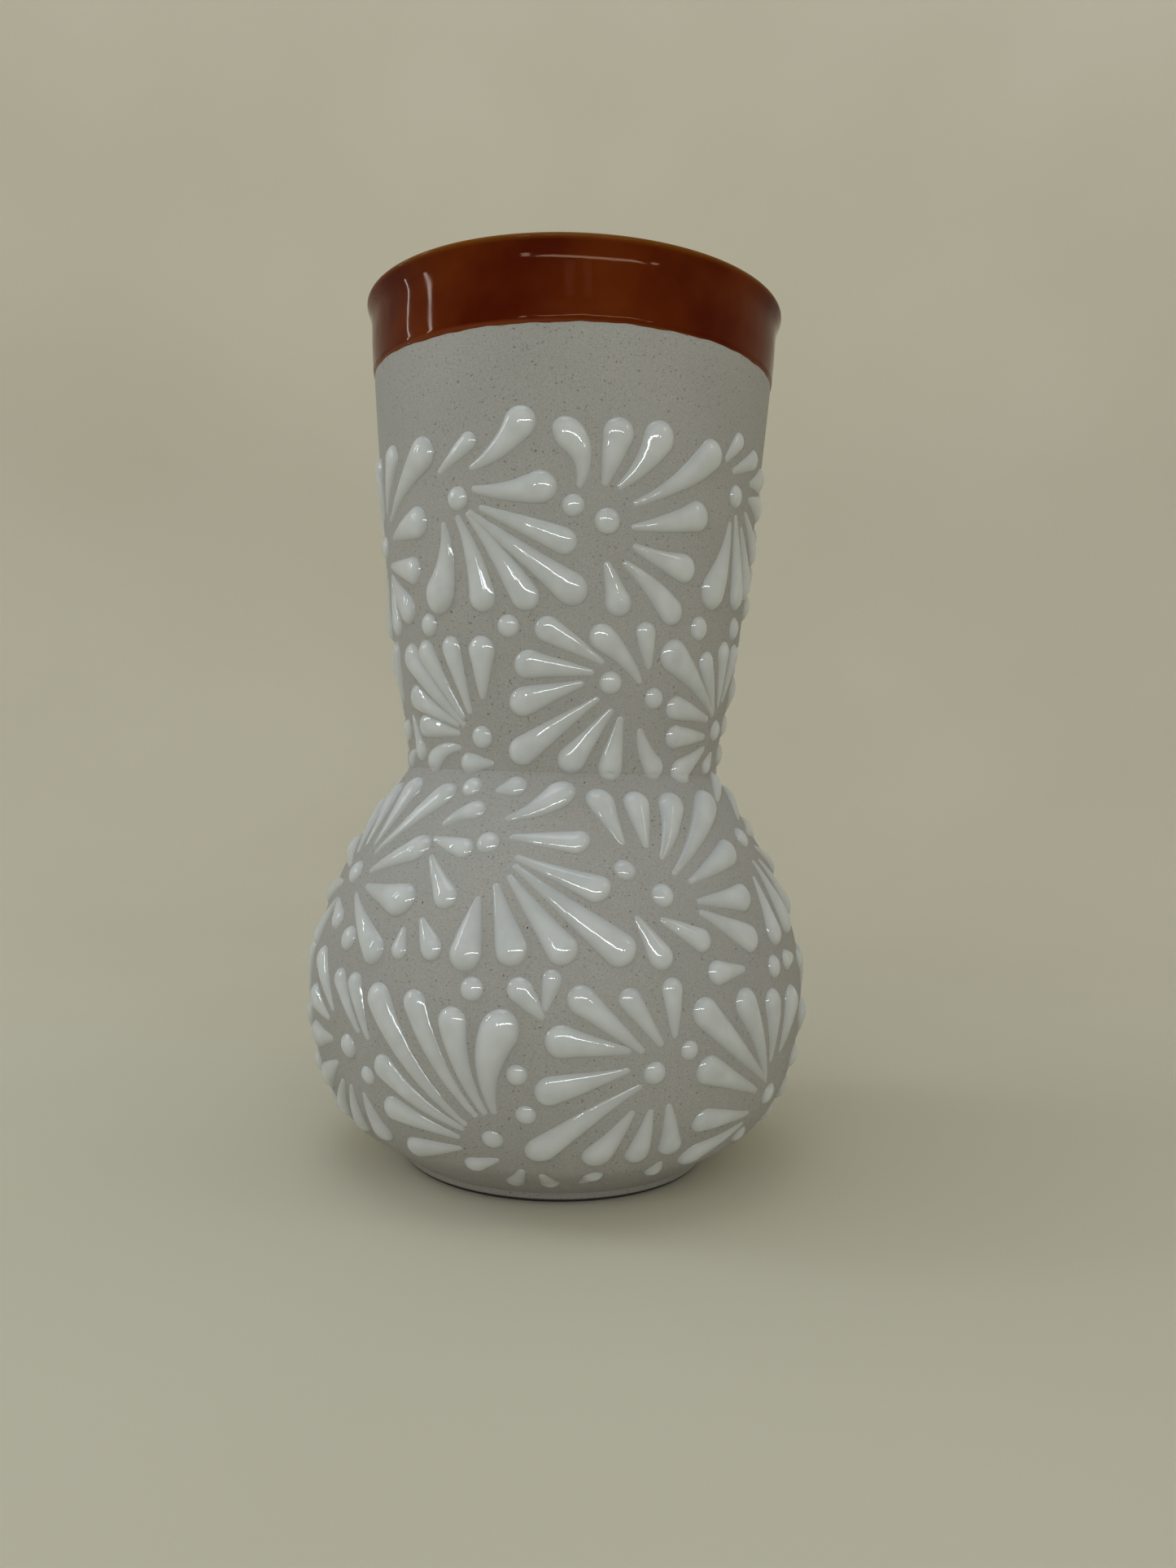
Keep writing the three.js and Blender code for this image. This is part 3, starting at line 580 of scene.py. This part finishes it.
CLAY, PALE_CLAY = (0.438, 0.434, 0.438), (0.482, 0.478, 0.482)
SAND, GRIT, STONE = (0.27, 0.262, 0.245), (0.115, 0.10, 0.09), (0.02, 0.018, 0.016)
# Painted shade: the foot's lowest edge is painted a bluish near-black for the shadow where it
# meets the floor.
FOOT_PAINTED_SHADE = (0.035, 0.033, 0.04)
ENAMEL, PALE_ENAMEL = (0.605, 0.635, 0.675), (0.68, 0.71, 0.755)
THIN_ENAMEL = (0.51, 0.53, 0.55)
GLAZE, PALE_GLAZE = (0.080, 0.0065, 0.0006), (0.135, 0.022, 0.002)
# The lighter amber over the top of the lip is a painted highlight, where the rounded lip catches
# the light.
EDGE_GLAZE, LIP_PAINTED_HIGHLIGHT = (0.17, 0.036, 0.010), (0.24, 0.095, 0.010)
GLAZE_SHINE = (1.0, 0.66, 0.45)
PAPER, PALE_PAPER = (0.575, 0.546, 0.445), (0.61, 0.58, 0.48)

# From the first to the second value of the noise or distance, the material changes over.
NOISE_RANGE, WIDE_NOISE_RANGE = (0.35, 0.65), (0.3, 0.7)  # most of what soft noise gives
SAND_RANGE, GRIT_RANGE, STONE_RANGE = (0.36, 0.66), (0.64, 0.67), (0.014, 0.02)
SAND_SHARE, GRIT_SHARE = 0.5, 0.7  # how much of their colours shows
THIN_TO_THICK = (0.1, 0.75)  # of the enamel's full thickness

CLAY_ROUGHNESS, PAPER_ROUGHNESS = (0.86, 0.97), 0.9
ENAMEL_ROUGHNESS, GLAZE_ROUGHNESS = (0.02, 0.045), (0.04, 0.09)
CLAY_SPECULAR, GLAZE_SPECULAR, ENAMEL_IOR = 0.25, 0.09, 1.55

FOOT_SHADE_HEIGHTS = (1.1, 1.6)  # millimetres, as the next two
EDGE_TINT_HEIGHTS = (GLAZE_EDGE_HEIGHT - 0.3, GLAZE_EDGE_HEIGHT + 0.3)
LIP_HIGHLIGHT_HEIGHTS = (247.8, 250)

# The paper's own glow: (near, far, strength near, strength far), in metres from the middle.
NEAR_GLOW, FAR_GLOW = (0.08, 0.5, 0.04, 0.135), (1.0, 1.4, 0, 0.16)


class Nodes:
    """A material's node tree, with short calls to add and join nodes."""

    def __init__(self, name):
        self.material = bpy.data.materials.new(name)
        self.material.use_nodes = True
        self.tree = self.material.node_tree
        self.shader = self.tree.nodes["Principled BSDF"]
        self.place = self.add("ShaderNodeTexCoord").outputs["Object"]

    def add(self, kind, **settings):
        node = self.tree.nodes.new(kind)
        for setting, value in settings.items():
            setattr(node, setting, value)
        return node

    def join(self, output, node, socket):
        self.tree.links.new(output, node.inputs[socket])

    def noise(self, size, detail=3.0, roughness=0.5):
        """Noise with features about this big, in millimetres."""
        node = self.add("ShaderNodeTexNoise")
        self.join(self.place, node, "Vector")
        node.inputs["Scale"].default_value = 1 / (size * MM)
        node.inputs["Detail"].default_value = detail
        node.inputs["Roughness"].default_value = roughness
        return node.outputs["Fac"]

    def spots(self, spacing):
        """Distance to the nearest of scattered places this far apart, over that spacing."""
        node = self.add("ShaderNodeTexVoronoi")
        self.join(self.place, node, "Vector")
        node.inputs["Scale"].default_value = 1 / (spacing * MM)
        return node.outputs["Distance"]

    def span(self, value, from_min, from_max, to_min=0.0, to_max=1.0):
        node = self.add("ShaderNodeMapRange")
        self.join(value, node, "Value")
        for socket, number in zip(
            ("From Min", "From Max", "To Min", "To Max"), (from_min, from_max, to_min, to_max)
        ):
            node.inputs[socket].default_value = number
        return node.outputs["Result"]

    def by_height(self, heights, low_value, high_value):
        """A number that changes from one value to the other between two heights."""
        axes = self.add("ShaderNodeSeparateXYZ")
        self.join(self.place, axes, "Vector")
        low, high = heights
        return self.span(axes.outputs["Z"], low * MM, high * MM, low_value, high_value)

    def mix(self, share, first, second):
        """Blends two colours, each a colour or the output of another node."""
        node = self.add("ShaderNodeMix", data_type="RGBA")
        self.join(share, node, 0)
        for socket, colour in ((6, first), (7, second)):
            if isinstance(colour, tuple):
                node.inputs[socket].default_value = (*colour, 1)
            else:
                self.join(colour, node, socket)
        return node.outputs[2]

    def bump(self, height, distance, strength, under=None):
        """Relief with this height in millimetres."""
        node = self.add("ShaderNodeBump")
        node.inputs["Strength"].default_value = strength
        node.inputs["Distance"].default_value = distance * MM
        self.join(height, node, "Height")
        if under:
            self.join(under, node, "Normal")
        return node.outputs["Normal"]


def clay_material():
    nodes = Nodes("sandy_clay")
    clouds = nodes.span(nodes.noise(size=45, detail=2), *NOISE_RANGE)
    colour = nodes.mix(clouds, CLAY, PALE_CLAY)
    sand = nodes.span(nodes.noise(size=0.42, detail=3, roughness=0.7), *SAND_RANGE)
    colour = nodes.mix(nodes.span(sand, 0, 1, 0, SAND_SHARE), colour, SAND)
    specks = nodes.noise(size=0.75, detail=3, roughness=0.6)
    colour = nodes.mix(nodes.span(specks, *GRIT_RANGE, 0, GRIT_SHARE), colour, GRIT)
    stones = nodes.span(nodes.spots(spacing=13), *STONE_RANGE, 1, 0)
    colour = nodes.mix(stones, colour, STONE)
    # Painted shade: below these heights the foot is painted near black for its shadow on the
    # floor.
    colour = nodes.mix(nodes.by_height(FOOT_SHADE_HEIGHTS, 1, 0), colour, FOOT_PAINTED_SHADE)
    nodes.join(colour, nodes.shader, "Base Color")
    nodes.join(nodes.span(sand, 0, 1, *CLAY_ROUGHNESS), nodes.shader, "Roughness")
    fine = nodes.bump(nodes.noise(size=0.4, detail=3), distance=0.07, strength=0.6)
    thrown = nodes.bump(nodes.noise(size=9, detail=2), distance=0.3, strength=0.3, under=fine)
    nodes.join(thrown, nodes.shader, "Normal")
    nodes.shader.inputs["Specular IOR Level"].default_value = CLAY_SPECULAR
    return nodes.material


def enamel_material():
    nodes = Nodes("white_enamel")
    layer = nodes.add("ShaderNodeAttribute", attribute_name="thickness").outputs["Fac"]
    clouds = nodes.span(nodes.noise(size=7, detail=2), *NOISE_RANGE)
    white = nodes.mix(clouds, ENAMEL, PALE_ENAMEL)
    colour = nodes.mix(nodes.span(layer, *THIN_TO_THICK), THIN_ENAMEL, white)
    nodes.join(colour, nodes.shader, "Base Color")
    polish = nodes.span(nodes.noise(size=2.5), *WIDE_NOISE_RANGE, *ENAMEL_ROUGHNESS)
    nodes.join(polish, nodes.shader, "Roughness")
    uneven = nodes.bump(nodes.noise(size=3.4, detail=1.5), distance=0.5, strength=0.16)
    nodes.join(uneven, nodes.shader, "Normal")
    nodes.shader.inputs["IOR"].default_value = ENAMEL_IOR
    return nodes.material


def glaze_material():
    nodes = Nodes("brown_glaze")
    pool = nodes.span(nodes.noise(size=24, detail=3), *NOISE_RANGE)
    colour = nodes.mix(pool, GLAZE, PALE_GLAZE)
    colour = nodes.mix(nodes.by_height(EDGE_TINT_HEIGHTS, 1, 0), colour, EDGE_GLAZE)
    # Painted highlight: the top of the lip is painted a lighter amber.
    colour = nodes.mix(nodes.by_height(LIP_HIGHLIGHT_HEIGHTS, 0, 1), colour, LIP_PAINTED_HIGHLIGHT)
    nodes.join(colour, nodes.shader, "Base Color")
    polish = nodes.span(nodes.noise(size=4), *WIDE_NOISE_RANGE, *GLAZE_ROUGHNESS)
    nodes.join(polish, nodes.shader, "Roughness")
    runs = nodes.bump(nodes.noise(size=11, detail=1), distance=0.8, strength=0.25)
    nodes.join(runs, nodes.shader, "Normal")
    nodes.shader.inputs["Specular IOR Level"].default_value = GLAZE_SPECULAR
    nodes.shader.inputs["Specular Tint"].default_value = (*GLAZE_SHINE, 1)
    return nodes.material


def paper_material():
    """Pale paper, lit a little from within where it rises round the vase."""
    nodes = Nodes("pale_paper")
    clouds = nodes.span(nodes.noise(size=260, detail=2), *WIDE_NOISE_RANGE)
    colour = nodes.mix(clouds, PAPER, PALE_PAPER)
    nodes.join(colour, nodes.shader, "Base Color")
    nodes.join(colour, nodes.shader, "Emission Color")
    away = nodes.add("ShaderNodeVectorMath", operation="LENGTH")
    nodes.join(nodes.place, away, 0)
    glow = nodes.add("ShaderNodeMath", operation="ADD")
    nodes.join(nodes.span(away.outputs["Value"], *NEAR_GLOW), glow, 0)
    nodes.join(nodes.span(away.outputs["Value"], *FAR_GLOW), glow, 1)
    nodes.join(glow.outputs["Value"], nodes.shader, "Emission Strength")
    nodes.shader.inputs["Roughness"].default_value = PAPER_ROUGHNESS
    return nodes.material


# ---------------------------------------------------------------- the scene


def add_floor():
    """A round floor that curves up into a low wall, so that no edge shows from any side."""
    arc = [
        (FLOOR_FLAT + FLOOR_BEND * math.sin(turn), FLOOR_BEND - FLOOR_BEND * math.cos(turn))
        for turn in np.linspace(0, math.pi / 2, FLOOR_STEPS)
    ]
    outline = [(0, 0), (FLOOR_FLAT / 2, 0), *arc, (FLOOR_FLAT + FLOOR_BEND, WALL_TOP)]
    mesh = revolve("floor", outline, segments=FLOOR_SEGMENTS)
    floor = add_object("floor", mesh, paper_material())


add_camera()
add_lights()
add_floor()
clay_finish = clay_material()
glaze_finish = glaze_material()
make_belly(clay_finish)
make_neck(clay_finish)
make_rim_glaze(glaze_finish)
make_lining(glaze_finish)
make_all_enamel(enamel_material())
